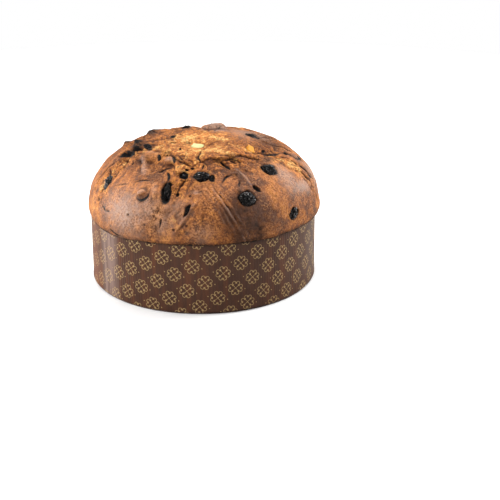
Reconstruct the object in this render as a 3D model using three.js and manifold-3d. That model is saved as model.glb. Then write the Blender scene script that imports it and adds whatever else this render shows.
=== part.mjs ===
// A low panettone: a domed sweet loaf that was baked in its paper mould and still stands in it.
// Millimetres, +Z up. The origin is the centre of the mould's underside.
// Places on the dome are a bearing about +Z (0 is +X, -90 is the front) and a rise above
// the level, both in degrees, seen from the hub that the dough swelled out from.
import * as THREE from 'three';
import { mergeVertices } from 'three/addons/utils/BufferGeometryUtils.js';
import Module from 'manifold-3d';

const wasm = await Module();
wasm.setup();

// Paper mould
const MOULD_DIAMETER = 210;
const MOULD_HEIGHT = 65;
const PAPER = 0.8;
const FLANGE_WIDTH = 11;
const BASE_INSET = 2;
const VENT_DIAMETER = 4;
const VENT_RINGS = [
  { radius: 32, count: 6 },
  { radius: 68, count: 12 },
];

// Clearances between pieces that touch
const GAP = 0.3;
const WALL_GAP = 0.45;

// Loaf
const DOME_HUB = 62;
const DOME_REACH = 108.2;
const DOME_RISE = 71.3;
const DOME_SQUARENESS = 2.28;
const RIGHT_FULLNESS = 1.2;
const OVERHANG = 2.2;
const BOTTOM_ROUNDING = 7;
const BEARING_STEPS = 72;
const DOME_ROWS = 18;

// The cross scored before baking tore open along four arms, from the crown to near the rim
const TEAR_DEPTH = 3.2;
const TEAR_HALF_WIDTH = 9;
const TEARS = [
  { crown: -170, rim: -154 },
  { crown: -92, rim: -108 },
  { crown: -40, rim: -17 },
  { crown: 88, rim: 76 },
];

// Broad cushions and hollows of the crust: bearing, rise, half width and height
const SWELLINGS = [
  { bearing: -128, rise: 20, halfWidth: 34, height: 2.2 },
  { bearing: -80, rise: 17, halfWidth: 36, height: 1.6 },
  { bearing: -40, rise: 26, halfWidth: 30, height: 1.8 },
  { bearing: 30, rise: 30, halfWidth: 46, height: 2.4 },
  { bearing: 128, rise: 28, halfWidth: 46, height: 1.6 },
  { bearing: 70, rise: 63, halfWidth: 14, height: 2.4 },
  { bearing: 148, rise: 49, halfWidth: 12, height: 2.6 },
  { bearing: -130, rise: 45, halfWidth: 12, height: 1.8 },
  { bearing: -60, rise: 88, halfWidth: 24, height: -1.4 },
];

// Raisins at the crust: place, length, width and height, the turn of the length from level,
// and how far the middle lies under the crust
const RAISINS = [
  { bearing: -155, rise: 22, size: [12, 8.5, 8], turn: 92, sunk: 1.2 },
  { bearing: -167, rise: 40, size: [14, 8, 7], turn: 20, sunk: 2.6 },
  { bearing: -166, rise: 51, size: [7, 5.5, 5], turn: 0, sunk: 1 },
  { bearing: 117, rise: 65, size: [10, 7, 6], turn: 0, sunk: 0.5 },
  { bearing: -91, rise: 36, size: [14, 10.5, 9], turn: 4, sunk: 1 },
  { bearing: -84.5, rise: 34.5, size: [7, 4.5, 5], turn: 80, sunk: 1.2 },
  { bearing: -103, rise: 37, size: [8, 7.5, 6], turn: 50, sunk: 2.5 },
  { bearing: -110.5, rise: 26, size: [18.5, 8.5, 8], turn: 98, sunk: 2.4 },
  { bearing: -98, rise: 18, size: [12, 6, 6], turn: 66, sunk: 1.8 },
  { bearing: -67, rise: 22, size: [16, 13, 10], turn: -8, sunk: 0.8 },
  { bearing: -43, rise: 34, size: [14, 11.5, 9], turn: -25, sunk: 1 },
  { bearing: 7, rise: 55, size: [13, 8, 6], turn: 80, sunk: 1.6 },
  { bearing: -42, rise: 10, size: [12, 9, 8], turn: 30, sunk: 1.6 },
  { bearing: 28, rise: 17, size: [13, 10, 8], turn: -30, sunk: 1.2 },
  { bearing: 50, rise: 29, size: [11, 9, 8], turn: 60, sunk: 1.6 },
  { bearing: 80, rise: 15, size: [14, 9, 8], turn: 12, sunk: 1.4 },
  { bearing: 103, rise: 34, size: [12, 10, 8], turn: -50, sunk: 1 },
  { bearing: 130, rise: 19, size: [15, 11, 9], turn: 35, sunk: 1.2 },
  { bearing: 152, rise: 20, size: [12, 8, 8], turn: -70, sunk: 1.6 },
];

// Candied peel at the crust, given as the raisins are
const PEEL = [
  { name: 'citron_peel_1', colour: 0xc9cf84, bearing: -100, rise: 69, size: [11, 7, 6], turn: -10, sunk: 1.6 },
  { name: 'lemon_peel_1', colour: 0xd9a02c, bearing: -29, rise: 52, size: [9, 6.5, 6], turn: 40, sunk: 1.6 },
  { name: 'orange_peel_1', colour: 0xd9761c, bearing: 122, rise: 31, size: [10, 7, 6], turn: 20, sunk: 1.6 },
  { name: 'citron_peel_2', colour: 0xb9c070, bearing: 66, rise: 35, size: [9, 7, 6], turn: -40, sunk: 1.6 },
];

// Finishes
const CRUST = { color: 0xa05c28, roughness: 0.55, metalness: 0 };
const MOULD_PAPER = { color: 0x3c2820, roughness: 0.6, metalness: 0 };
const RAISIN_SKIN = { color: 0x17110f, roughness: 0.4, metalness: 0 };
const PEEL_ROUGHNESS = 0.4;

const radians = THREE.MathUtils.degToRad;

// How far a point at one bearing is round the dome from another, from -180 to 180 degrees
function bearingBetween(bearing, from) {
  return THREE.MathUtils.euclideanModulo(bearing - from + 180, 360) - 180;
}

// The plain dome, from its hub, before it tore and swelled
function plainReach(bearing, rise) {
  const fuller = RIGHT_FULLNESS * Math.cos(radians(bearing));
  const across = Math.abs(Math.cos(radians(rise))) / (DOME_REACH + fuller);
  const upward = Math.abs(Math.sin(radians(rise))) / DOME_RISE;
  const sum = across ** DOME_SQUARENESS + upward ** DOME_SQUARENESS;
  return sum ** (-1 / DOME_SQUARENESS);
}

// Unit vector from the hub
function direction(bearing, rise) {
  const level = Math.cos(radians(rise));
  return new THREE.Vector3(
    level * Math.cos(radians(bearing)),
    level * Math.sin(radians(bearing)),
    Math.sin(radians(rise)),
  );
}

// The crust, from the hub: the plain dome with its torn arms and its cushions
function crustReach(bearing, rise) {
  const plain = plainReach(bearing, rise);
  const here = direction(bearing, rise);
  const rimFade = THREE.MathUtils.smoothstep(rise, 4, 16);
  const crownFade = 1 - 0.6 * THREE.MathUtils.smoothstep(rise, 66, 86);
  let tornOpen = 0;
  for (const tear of TEARS) {
    const path = tear.rim + (tear.crown - tear.rim) * (rise / 90);
    const away = Math.min(Math.abs(bearingBetween(bearing, path)), 90);
    const aside = plain * Math.cos(radians(rise)) * Math.sin(radians(away));
    tornOpen = Math.max(tornOpen, Math.exp(-((aside / TEAR_HALF_WIDTH) ** 2)));
  }
  let reach = plain - TEAR_DEPTH * rimFade * crownFade * tornOpen;
  for (const swelling of SWELLINGS) {
    const apart = plain * here.angleTo(direction(swelling.bearing, swelling.rise));
    reach += swelling.height * rimFade * Math.exp(-((apart / swelling.halfWidth) ** 2));
  }
  return reach;
}

// One closed surface: vertices shared, and triangles that have shrunk to nothing left out
function closedSurface(geometry) {
  const bare = geometry.clone();
  bare.deleteAttribute('normal');
  bare.deleteAttribute('uv');
  const merged = mergeVertices(bare, 1e-4);
  const corners = merged.index.array;
  const kept = [];
  for (let i = 0; i < corners.length; i += 3) {
    const [a, b, c] = [corners[i], corners[i + 1], corners[i + 2]];
    if (a !== b && b !== c && c !== a) {
      kept.push(a, b, c);
    }
  }
  merged.setIndex(kept);
  return merged;
}

function toSolid(geometry) {
  const surface = closedSurface(geometry);
  return new wasm.Manifold(new wasm.Mesh({
    numProp: 3,
    vertProperties: new Float32Array(surface.attributes.position.array),
    triVerts: new Uint32Array(surface.index.array),
  }));
}

function toGeometry(solid) {
  const mesh = solid.getMesh();
  const geometry = new THREE.BufferGeometry();
  geometry.setAttribute('position', new THREE.BufferAttribute(mesh.vertProperties, 3));
  geometry.setIndex(new THREE.BufferAttribute(mesh.triVerts, 1));
  return geometry;
}

function addPiece(group, name, geometry, finish) {
  const whole = closedSurface(geometry);
  whole.computeVertexNormals();
  const piece = new THREE.Mesh(whole, new THREE.MeshStandardMaterial(finish));
  piece.name = name;
  group.add(piece);
}

// A lathe turned to stand on +Z, with one flat step at each bearing
function turned(profile) {
  const points = profile.map(([radius, height]) => new THREE.Vector2(radius, height));
  return new THREE.LatheGeometry(points, BEARING_STEPS).rotateX(Math.PI / 2);
}

// ---- Paper disc that closes the mould's underside, with punched vents
const mouldRadius = MOULD_DIAMETER / 2;

function mouldBase() {
  const discRadius = mouldRadius - BASE_INSET;
  const disc = turned([[0, 0], [discRadius, 0], [discRadius, PAPER], [0, PAPER]]);
  const vent = new THREE.CylinderGeometry(VENT_DIAMETER / 2, VENT_DIAMETER / 2, 4 * PAPER, 12);
  vent.rotateX(Math.PI / 2);
  let base = toSolid(disc);
  for (const ring of VENT_RINGS) {
    for (let i = 0; i < ring.count; i += 1) {
      const turn = (2 * Math.PI * i) / ring.count;
      const punched = vent.clone().translate(ring.radius * Math.cos(turn), ring.radius * Math.sin(turn), 0);
      base = base.subtract(toSolid(punched));
    }
  }
  return toGeometry(base);
}

// ---- Paper band that is the mould's wall, its foot turned in over the disc
const foot = PAPER + GAP;
const flangeTop = foot + PAPER;

function mouldWall() {
  const flangeEdge = mouldRadius - FLANGE_WIDTH;
  return turned([
    [flangeEdge, foot],
    [mouldRadius - PAPER, foot],
    [mouldRadius, flangeTop],
    [mouldRadius, MOULD_HEIGHT],
    [mouldRadius - PAPER, MOULD_HEIGHT],
    [mouldRadius - PAPER, flangeTop + PAPER],
    [mouldRadius - 2 * PAPER, flangeTop],
    [flangeEdge, flangeTop],
    [flangeEdge, foot],
  ]);
}

// ---- Loaf: straight-sided in the mould, a little over its rim, then the domed crust
const loafRadius = mouldRadius - PAPER - WALL_GAP;
const loafBottom = flangeTop + GAP;
const doughLip = MOULD_HEIGHT + WALL_GAP;

function loafBody() {
  const lowestRise = THREE.MathUtils.radToDeg(Math.atan2(doughLip + OVERHANG - DOME_HUB, loafRadius));
  const profile = [
    [0, loafBottom],
    [loafRadius - BOTTOM_ROUNDING, loafBottom],
    [loafRadius - BOTTOM_ROUNDING / 4, loafBottom + BOTTOM_ROUNDING / 3],
    [loafRadius, loafBottom + BOTTOM_ROUNDING],
    [loafRadius, doughLip],
    [loafRadius + OVERHANG, doughLip],
  ];
  for (let row = 0; row < DOME_ROWS; row += 1) {
    const rise = lowestRise + ((90 - lowestRise) * row) / DOME_ROWS;
    const reach = plainReach(90, rise);
    profile.push([reach * Math.cos(radians(rise)), DOME_HUB + reach * Math.sin(radians(rise))]);
  }
  profile.push([0, DOME_HUB + DOME_RISE]);
  const geometry = turned(profile);
  const place = geometry.attributes.position;
  const point = new THREE.Vector3();
  for (let i = 0; i < place.count; i += 1) {
    point.fromBufferAttribute(place, i);
    if (point.z > doughLip + 0.1) {
      const bearing = THREE.MathUtils.radToDeg(Math.atan2(point.y, point.x));
      const height = point.z - DOME_HUB;
      const rise = THREE.MathUtils.radToDeg(Math.atan2(height, Math.hypot(point.x, point.y)));
      const crown = rise > 89.9;
      const reach = crustReach(crown ? 0 : bearing, rise);
      point.copy(direction(crown ? 0 : bearing, rise)).multiplyScalar(reach);
      place.setXYZ(i, point.x, point.y, point.z + DOME_HUB);
    }
  }
  return geometry;
}

// ---- Fruit at the crust. Each lies in its own hollow, a gap wider all round.
// Stands a shape on the crust: its X along the fruit's length, its Z out of the loaf
function laidOnCrust(geometry, fruit) {
  const outward = direction(fruit.bearing, fruit.rise);
  const level = new THREE.Vector3(0, 0, 1).cross(outward).normalize();
  const upSlope = outward.clone().cross(level);
  const length = level.multiplyScalar(Math.cos(radians(fruit.turn)));
  length.addScaledVector(upSlope, Math.sin(radians(fruit.turn)));
  const width = outward.clone().cross(length);
  const centre = outward.clone().multiplyScalar(crustReach(fruit.bearing, fruit.rise) - fruit.sunk);
  centre.z += DOME_HUB;
  const placing = new THREE.Matrix4().makeBasis(length, width, outward).setPosition(centre);
  return geometry.clone().applyMatrix4(placing);
}

// A raisin is an egg of dough-soft skin, pinched by a few long wrinkles
function raisinShape(size, margin, seed) {
  const egg = closedSurface(new THREE.IcosahedronGeometry(1, 2));
  const place = egg.attributes.position;
  const point = new THREE.Vector3();
  for (let i = 0; i < place.count; i += 1) {
    point.fromBufferAttribute(place, i);
    const around = Math.atan2(point.z, point.y);
    const wrinkle = 1 + 0.07 * Math.sin(4 * around + 3 * point.x + seed) * (1 - point.x ** 2);
    const taper = 1 - 0.12 * point.x * Math.cos(seed);
    place.setXYZ(
      i,
      point.x * (size[0] / 2 + margin),
      point.y * wrinkle * taper * (size[1] / 2 + margin),
      point.z * wrinkle * taper * (size[2] / 2 + margin),
    );
  }
  return egg;
}

// A cut of peel is a block with its corners drawn in by the sugar
function peelShape(size, margin) {
  const steps = 3;
  const block = closedSurface(new THREE.BoxGeometry(2, 2, 2, steps, steps, steps));
  const place = block.attributes.position;
  const point = new THREE.Vector3();
  for (let i = 0; i < place.count; i += 1) {
    point.fromBufferAttribute(place, i);
    const round = 1 - 0.13 * (point.lengthSq() - 1);
    place.setXYZ(
      i,
      point.x * round * (size[0] / 2 + margin),
      point.y * round * (size[1] / 2 + margin),
      point.z * round * (size[2] / 2 + margin),
    );
  }
  return block;
}

// ---- The whole panettone
const panettone = new THREE.Group();
addPiece(panettone, 'mould_base', mouldBase(), MOULD_PAPER);
addPiece(panettone, 'mould_wall', mouldWall(), MOULD_PAPER);

let loaf = toSolid(loafBody());
RAISINS.forEach((raisin, i) => {
  loaf = loaf.subtract(toSolid(laidOnCrust(raisinShape(raisin.size, GAP, i), raisin)));
  addPiece(panettone, `raisin_${i + 1}`, laidOnCrust(raisinShape(raisin.size, 0, i), raisin), RAISIN_SKIN);
});
for (const peel of PEEL) {
  const finish = { color: peel.colour, roughness: PEEL_ROUGHNESS, metalness: 0 };
  loaf = loaf.subtract(toSolid(laidOnCrust(peelShape(peel.size, GAP), peel)));
  addPiece(panettone, peel.name, laidOnCrust(peelShape(peel.size, 0), peel), finish);
}
addPiece(panettone, 'loaf', toGeometry(loaf), CRUST);

export default panettone;
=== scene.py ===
import math

import bpy
import numpy as np
from mathutils import Matrix, Vector, noise


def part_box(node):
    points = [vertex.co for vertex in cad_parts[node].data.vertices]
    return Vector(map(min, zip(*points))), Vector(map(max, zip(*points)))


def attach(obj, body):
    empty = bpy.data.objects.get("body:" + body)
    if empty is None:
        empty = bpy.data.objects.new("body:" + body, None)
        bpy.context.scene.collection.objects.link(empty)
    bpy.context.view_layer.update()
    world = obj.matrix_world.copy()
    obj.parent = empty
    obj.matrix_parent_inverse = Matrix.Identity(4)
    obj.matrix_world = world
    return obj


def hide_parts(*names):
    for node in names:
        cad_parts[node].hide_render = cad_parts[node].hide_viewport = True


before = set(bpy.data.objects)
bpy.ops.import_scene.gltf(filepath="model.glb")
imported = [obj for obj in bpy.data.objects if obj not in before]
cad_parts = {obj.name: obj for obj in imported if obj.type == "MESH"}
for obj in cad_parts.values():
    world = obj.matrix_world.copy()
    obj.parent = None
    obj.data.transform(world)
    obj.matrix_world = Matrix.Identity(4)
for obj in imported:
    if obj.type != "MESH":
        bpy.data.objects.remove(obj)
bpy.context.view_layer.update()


# ---------------------------------------------------------------------------- Mould base
# The disc of baking paper that closes the mould's underside, punched with vents and glued to
# the wall's turned-in foot. Its solid is already the right shape, so it only takes its paper.

MM = 0.001


def wire(material, kind, settings=None, **inputs):
    """Adds one node. Names are socket names with _ for a space; a socket is linked, a value is set."""
    new = material.node_tree.nodes.new(kind)
    for name, value in (settings or {}).items():
        setattr(new, name, value)
    for name, value in inputs.items():
        key = int(name[1:]) if name[0] == "_" else name.replace("_", " ")
        if isinstance(value, bpy.types.NodeSocket):
            material.node_tree.links.new(value, new.inputs[key])
        else:
            new.inputs[key].default_value = value
    return new


def calculate(material, operation, *values):
    """One Math node on up to three values or sockets."""
    inputs = {f"_{i}": value for i, value in enumerate(values)}
    return wire(material, "ShaderNodeMath", {"operation": operation}, **inputs).outputs[0]


def blend_colours(material, amount, first, second):
    """One Mix node between two colours."""
    mixed = wire(material, "ShaderNodeMix", {"data_type": "RGBA"}, _0=amount, _6=first, _7=second)
    return mixed.outputs[2]


def new_finish(name):
    """A material with its Principled shader."""
    material = bpy.data.materials.new(name)
    material.use_nodes = True
    return material, material.node_tree.nodes["Principled BSDF"]


def feed(material, shader, **sockets):
    """Links sockets to the shader's own, by name with _ for a space."""
    for name, socket in sockets.items():
        material.node_tree.links.new(socket, shader.inputs[name.replace("_", " ")])


def clear_selection():
    if bpy.context.object and bpy.context.object.mode != "OBJECT":
        bpy.ops.object.mode_set(mode="OBJECT")
    bpy.ops.object.select_all(action="DESELECT")


def finish_with(obj, kind, name, **settings):
    """Adds one modifier with its settings and applies it."""
    clear_selection()
    obj.select_set(True)
    bpy.context.view_layer.objects.active = obj
    modifier = obj.modifiers.new(name, kind)
    for key, value in settings.items():
        setattr(modifier, key, value)
    bpy.ops.object.modifier_apply(modifier=modifier.name)


PAPER_BROWN = (0.050, 0.019, 0.010, 1)
PAPER_WORN = (0.095, 0.042, 0.024, 1)
PAPER_RUDDY = (0.150, 0.048, 0.018, 1)

base_paper, shader = new_finish("plain_baking_paper")
place = wire(base_paper, "ShaderNodeTexCoord").outputs["Object"]
fibres = wire(base_paper, "ShaderNodeTexNoise", Vector=place, Scale=900.0, Detail=4.0).outputs[0]
feed(base_paper, shader, Base_Color=blend_colours(base_paper, fibres, PAPER_BROWN, PAPER_WORN))
raised = wire(base_paper, "ShaderNodeBump", Strength=0.3, Distance=0.1 * MM, Height=fibres).outputs[0]
feed(base_paper, shader, Normal=raised)
shader.inputs["Roughness"].default_value = 0.6
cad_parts["mould_base"].data.materials.clear()
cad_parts["mould_base"].data.materials.append(base_paper)


# ---------------------------------------------------------------------------- Mould wall
# A band of dark brown micro-corrugated baking paper, its ribs running up and down. It is rolled
# round, glued where its ends lap at the back, turned in at the foot and printed in gold.

wall_low, wall_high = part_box("mould_wall")
WALL_RADIUS = wall_high.x
WALL_FOOT = wall_low.z
WALL_RIM = wall_high.z
WALL_PAPER = 0.5 * MM
RIBS = 250
STEPS_TO_A_RIB = 6
RIB_DEPTH = 0.16 * MM
SLACK = 0.35 * MM
WALL_ROWS = 24
FOOT_FOLD = 1.4 * MM
FLANGE = 10 * MM
LAP_BEARING = math.radians(112)
LAP_WIDTH = 14 * MM

clear_selection()
bpy.ops.mesh.primitive_cylinder_add(
    vertices=RIBS * STEPS_TO_A_RIB,
    radius=WALL_RADIUS,
    depth=WALL_RIM - WALL_FOOT - FOOT_FOLD,
    end_fill_type="NOTHING",
    location=(0, 0, (WALL_RIM + WALL_FOOT + FOOT_FOLD) / 2),
)
wall = bpy.context.object
wall.name = "mould_paper_wall"
bpy.ops.object.transform_apply(location=True, rotation=False, scale=False)
bpy.ops.object.mode_set(mode="EDIT")
bpy.ops.mesh.select_mode(type="EDGE")
bpy.ops.mesh.select_all(action="DESELECT")
bpy.ops.object.mode_set(mode="OBJECT")
for edge in wall.data.edges:
    ends = [wall.data.vertices[i].co.z for i in edge.vertices]
    edge.select = abs(ends[0] - ends[1]) > MM
bpy.ops.object.mode_set(mode="EDIT")
bpy.ops.mesh.subdivide(number_cuts=WALL_ROWS - 1)
bpy.ops.mesh.select_all(action="DESELECT")
bpy.ops.object.mode_set(mode="OBJECT")
lowest = WALL_FOOT + FOOT_FOLD + 0.1 * MM
for edge in wall.data.edges:
    edge.select = all(wall.data.vertices[i].co.z < lowest for i in edge.vertices)
bpy.ops.object.mode_set(mode="EDIT")
for inward, down in ((0.3, 0.6), (0.8, 0.6), (1.2, 0.2), (FLANGE / MM - 2.3, 0)):
    bpy.ops.mesh.extrude_region_move()
    scale = 1 - inward * MM / WALL_RADIUS
    bpy.ops.transform.resize(value=(scale, scale, 1), center_override=(0, 0, 0))
    bpy.ops.transform.translate(value=(0, 0, -down * MM))
bpy.ops.object.mode_set(mode="OBJECT")

points = np.empty(len(wall.data.vertices) * 3)
wall.data.vertices.foreach_get("co", points)
points = points.reshape(-1, 3)
bearing = np.arctan2(points[:, 1], points[:, 0])
radius = np.hypot(points[:, 0], points[:, 1])
up_wall = np.clip((points[:, 2] - WALL_FOOT) / (WALL_RIM - WALL_FOOT), 0, 1)
standing = np.clip((points[:, 2] - WALL_FOOT) / (4 * MM), 0, 1)
ribs = RIB_DEPTH * 0.5 * (np.cos(bearing * RIBS) - 1)
lap = (bearing - LAP_BEARING) * WALL_RADIUS / LAP_WIDTH
lapped = np.clip(lap * 20, 0, 1) * np.clip((1 - lap) * 20, 0, 1)
slack = np.array([
    noise.noise(Vector((math.cos(b) * 3, math.sin(b) * 3, h * 1.2))) for b, h in zip(bearing, up_wall)
])
moved = radius + standing * (ribs - SLACK * (1 - lapped) + SLACK * (slack - 0.5))
points[:, :2] *= (moved / radius)[:, None]
wall.data.vertices.foreach_set("co", points.ravel())

# The paper unrolled flat, in millimetres. A face over the seam takes its far end from the next turn.
NEARLY_HALF_ROUND = 300
unrolled = wall.data.uv_layers.new(name="unrolled_mm")
for loop in wall.data.loops:
    spot = wall.data.vertices[loop.vertex_index].co
    turn = (math.atan2(spot.y, spot.x) - LAP_BEARING) % (2 * math.pi)
    unrolled.data[loop.index].uv = (turn * WALL_RADIUS / MM, spot.z / MM)
for face in wall.data.polygons:
    across = [unrolled.data[i].uv.x for i in face.loop_indices]
    if max(across) - min(across) > NEARLY_HALF_ROUND:
        for i in face.loop_indices:
            if unrolled.data[i].uv.x < NEARLY_HALF_ROUND:
                unrolled.data[i].uv.x += 2 * math.pi * WALL_RADIUS / MM
finish_with(wall, "SOLIDIFY", "paper_thickness", thickness=WALL_PAPER, offset=-1.0)
bpy.ops.object.shade_smooth_by_angle(angle=math.radians(50))

# The print: four-petalled flowers on a slanting lattice, all lengths in millimetres. A petal is
# a heart with its point at the flower's middle and its notch curled in.
ALONG_ROW = (16.0, 8.0)
ACROSS_ROW = (11.1, -14.8)
ROW_START = 40.29
COLUMN_START = 40.86
FLOWER_TURN = math.radians(6)
SIDE_BEND = (0.6, 0.9)
SIDE_LENGTH = 3.5
LOBE = (4.6, 1.75, 1.6)
CURL = (4.8, 0.75, 0.28)
PRINT_LINE = 0.16
DOT_REACH = 8.8
GOLD_INK = (0.78, 0.53, 0.23, 1)

# Two upright bands of painted light on the paper: a brighter reddened band where the left lamps fall, and a
# pale painted sheen beside it
PAINTED_LIGHT_BANDS = ((158, 14, (0.240, 0.058, 0.012, 1)), (190, 11, (0.330, 0.220, 0.185, 1)))

wall_paper, shader = new_finish("printed_baking_paper")


def add(*values):
    return calculate(wall_paper, "ADD", *values)


def times(*values):
    return calculate(wall_paper, "MULTIPLY", *values)


def less(*values):
    return calculate(wall_paper, "SUBTRACT", *values)


def size_of(value):
    return calculate(wall_paper, "ABSOLUTE", value)


def distance(x, y):
    return calculate(wall_paper, "SQRT", add(times(x, x), times(y, y)))


def inked(gap, soft=0.18):
    """1 where a length is below zero, falling to 0 over a soft edge."""
    ramp = wire(wall_paper, "ShaderNodeMapRange", {"clamp": True}, _0=gap, _1=-soft, _2=soft, _3=1.0, _4=0.0)
    return ramp.outputs[0]


sheet = wire(wall_paper, "ShaderNodeUVMap", {"uv_map": "unrolled_mm"}).outputs[0]
axes = wire(wall_paper, "ShaderNodeSeparateXYZ", Vector=sheet).outputs
area = ALONG_ROW[0] * ACROSS_ROW[1] - ALONG_ROW[1] * ACROSS_ROW[0]
row_steps = add(times(axes[0], ACROSS_ROW[1] / area), times(axes[1], -ACROSS_ROW[0] / area))
column_steps = add(times(axes[0], -ALONG_ROW[1] / area), times(axes[1], ALONG_ROW[0] / area))
row_part = less(calculate(wall_paper, "FRACT", add(row_steps, ROW_START)), 0.5)
column_part = less(calculate(wall_paper, "FRACT", add(column_steps, COLUMN_START)), 0.5)
level_x = add(times(row_part, ALONG_ROW[0]), times(column_part, ACROSS_ROW[0]))
level_y = add(times(row_part, ALONG_ROW[1]), times(column_part, ACROSS_ROW[1]))
flower_x = less(times(level_x, math.cos(FLOWER_TURN)), times(level_y, math.sin(FLOWER_TURN)))
flower_y = add(times(level_x, math.sin(FLOWER_TURN)), times(level_y, math.cos(FLOWER_TURN)))
petal_out = calculate(wall_paper, "MAXIMUM", size_of(flower_x), size_of(flower_y))
petal_aside = calculate(wall_paper, "MINIMUM", size_of(flower_x), size_of(flower_y))
bent = calculate(wall_paper, "MINIMUM", petal_out, add(times(petal_out, SIDE_BEND[0]), SIDE_BEND[1]))
side = times(
    inked(less(size_of(less(bent, petal_aside)), PRINT_LINE * 1.3)),
    inked(less(petal_out, SIDE_LENGTH)),
)
to_lobe = distance(less(petal_out, LOBE[0]), less(petal_aside, LOBE[1]))
lobe = inked(less(size_of(less(to_lobe, LOBE[2])), PRINT_LINE))
inner = times(inked(less(petal_out, LOBE[0] - 0.5)), inked(less(petal_aside, LOBE[1])))
lobe = times(lobe, less(1.0, inner))
curl = inked(less(distance(less(petal_out, CURL[0]), less(petal_aside, CURL[1])), CURL[2]))
dots = inked(less(distance(less(size_of(flower_x), DOT_REACH), add(flower_y, times(flower_x, 0.1))), 0.4))
flower = calculate(wall_paper, "MAXIMUM", calculate(wall_paper, "MAXIMUM", side, lobe),
                   calculate(wall_paper, "MAXIMUM", curl, dots))
spots = wire(wall_paper, "ShaderNodeTexNoise", Vector=sheet, Scale=1.6, Detail=3.0).outputs[0]
patchy = wire(wall_paper, "ShaderNodeMapRange", _0=spots, _1=0.35, _2=0.6, _3=0.45, _4=1.0).outputs[0]
ink = times(flower, patchy)
clouds = wire(wall_paper, "ShaderNodeTexNoise", Vector=sheet, Scale=0.06, Detail=4.0).outputs[0]
paper = blend_colours(wall_paper, clouds, PAPER_BROWN, PAPER_WORN)
upright = wire(wall_paper, "ShaderNodeVectorMath", {"operation": "MULTIPLY"},
               _0=sheet, _1=(0.13, 0.01, 0.0)).outputs[0]
bands = wire(wall_paper, "ShaderNodeTexNoise",
             Vector=upright, Scale=1.0, Detail=5.0, Roughness=0.65).outputs[0]
ruddy = wire(wall_paper, "ShaderNodeMapRange", _0=bands, _1=0.48, _2=0.7, _3=0.0, _4=0.7).outputs[0]
paper = blend_colours(wall_paper, ruddy, paper, PAPER_RUDDY)
# Paint the two bands of light onto the paper
for middle, half_width, tone in PAINTED_LIGHT_BANDS:
    band = inked(less(size_of(less(axes[0], middle)), half_width), 0.4 * half_width)
    streaky = wire(wall_paper, "ShaderNodeMapRange", _0=bands, _1=0.35, _2=0.6, _3=0.2, _4=0.8).outputs[0]
    paper = blend_colours(wall_paper, times(band, streaky), paper, tone)
feed(wall_paper, shader, Base_Color=blend_colours(wall_paper, ink, paper, GOLD_INK))
grain = wire(wall_paper, "ShaderNodeTexNoise", Vector=sheet, Scale=2.5, Detail=4.0).outputs[0]
rough = wire(wall_paper, "ShaderNodeMapRange", _0=grain, _1=0.3, _2=0.7, _3=0.3, _4=0.44).outputs[0]
feed(wall_paper, shader, Roughness=rough)
shader.inputs["Specular IOR Level"].default_value = 0.3
raised = wire(wall_paper, "ShaderNodeBump", Strength=0.25, Distance=0.1 * MM, Height=grain).outputs[0]
feed(wall_paper, shader, Normal=raised)
feed(wall_paper, shader, Metallic=times(ink, 0.35))
wall.data.materials.append(wall_paper)
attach(wall, "root")
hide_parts("mould_wall")


# ---------------------------------------------------------------------------- Loaf
# The baked dough, one piece: straight-sided in the mould, a little over its rim, then the dome.
# A cross cut in the risen dough tore open in the oven, so skin, torn crumb and raisins all show.

HUB = 62.0
REACH = 108.2
RISE = 71.3
SQUARENESS = 2.28
RIGHT_FULLNESS = 1.2
LIP = 65.3
INSIDE_MOULD = 103.7
LOAF_BOTTOM = 2.3


def plain_reach(bearing, rise):
    """From the hub to the dome before it tore, in millimetres, for angles in radians."""
    across = np.abs(np.cos(rise)) / (REACH + RIGHT_FULLNESS * np.cos(bearing))
    upward = np.abs(np.sin(np.maximum(rise, 0))) / RISE
    return (across**SQUARENESS + upward**SQUARENESS) ** (-1 / SQUARENESS)


def heading(bearing, rise):
    """Unit vectors from the hub, for angles in radians."""
    return np.stack([np.cos(rise) * np.cos(bearing), np.cos(rise) * np.sin(bearing), np.sin(rise)], -1)


def on_dome(place):
    """A (bearing, rise) in degrees as a point of the plain dome, in millimetres from the hub."""
    bearing, rise = np.radians(place)
    return heading(bearing, rise) * plain_reach(bearing, rise)


def soft_noise(points, size, seed):
    """Smooth noise from about -1 to 1 whose lumps are about that many millimetres across."""
    return np.array([noise.noise(Vector(p)) for p in points / size + seed])


def soft_step(value, low, high):
    t = np.clip((value - low) / (high - low), 0, 1)
    return t * t * (3 - 2 * t)


clear_selection()
bpy.ops.mesh.primitive_ico_sphere_add(subdivisions=8, radius=1.0, location=(0, 0, 0))
loaf = bpy.context.object
loaf.name = "baked_loaf"
bpy.ops.object.mode_set(mode="EDIT")
bpy.ops.mesh.select_all(action="SELECT")
bpy.ops.mesh.bisect(plane_co=(0, 0, -0.03), plane_no=(0, 0, 1), clear_inner=True)
bpy.ops.object.mode_set(mode="OBJECT")

points = np.empty(len(loaf.data.vertices) * 3)
loaf.data.vertices.foreach_get("co", points)
outward = points.reshape(-1, 3)
outward /= np.linalg.norm(outward, axis=1)[:, None]
bearing = np.arctan2(outward[:, 1], outward[:, 0])
bearing -= 0.25 * np.sin(bearing + math.pi / 2)
rise = np.arcsin(outward[:, 2])

# The dough's lower edge: it sits on the rim, and hangs a few millimetres over it in places.
hang = 3.4 * np.exp(-(((np.degrees(bearing) + 140) / 22) ** 2))
hang += 2.2 * np.exp(-(((np.degrees(bearing) - 60) / 30) ** 2))
ring = np.stack([np.cos(bearing), np.sin(bearing), 0 * bearing], -1) * REACH
hang += 0.8 * soft_noise(ring, 14, 3.0)
edge_rise = np.arctan2(LIP - hang - HUB, REACH)
bottom_rise = rise.min()
settled = np.radians(14)
share = np.clip((rise - bottom_rise) / (settled - bottom_rise), 0, 1)
rise = np.where(rise < settled, edge_rise + (settled - edge_rise) * share, rise)
outward = heading(bearing, rise)
plain = outward * plain_reach(bearing, rise)[:, None]
steepness = np.degrees(rise)

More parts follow.
